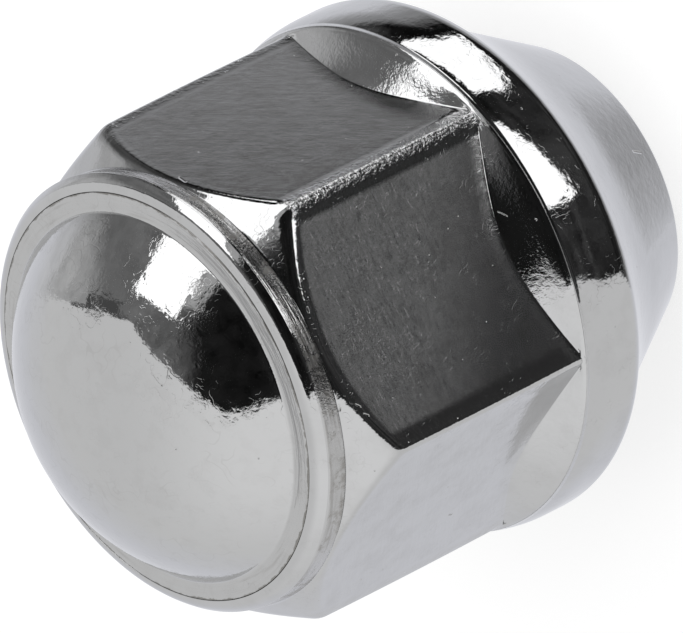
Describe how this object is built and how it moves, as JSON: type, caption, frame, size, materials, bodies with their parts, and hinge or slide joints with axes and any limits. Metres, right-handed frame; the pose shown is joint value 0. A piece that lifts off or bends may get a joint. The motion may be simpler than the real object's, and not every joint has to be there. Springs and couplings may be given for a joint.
{
  "type": "wheel lug nut",
  "caption": "Closed-end wheel nut: a hexagon over a round bulge and a 60 degree conical seat, threaded from below and closed above by a crimped dome cap. Bright chrome.",
  "frame": {"origin": "centre of the flat end face at the seat end, on the axis of the thread", "axes": "+Z along the axis of the thread, from the seat end towards the dome; two of the six flats face -Y and +Y"},
  "size_m": [0.0248, 0.0248, 0.0302],
  "materials": {
    "body_chrome": "bright decorative chrome over cold-forged steel, lightly pitted and scratched",
    "cap_chrome": "bright decorative chrome over pressed steel"
  },
  "bodies": {
    "root": {"nut_body": "body_chrome", "dome_cap": "cap_chrome"}
  },
  "joints": []
}
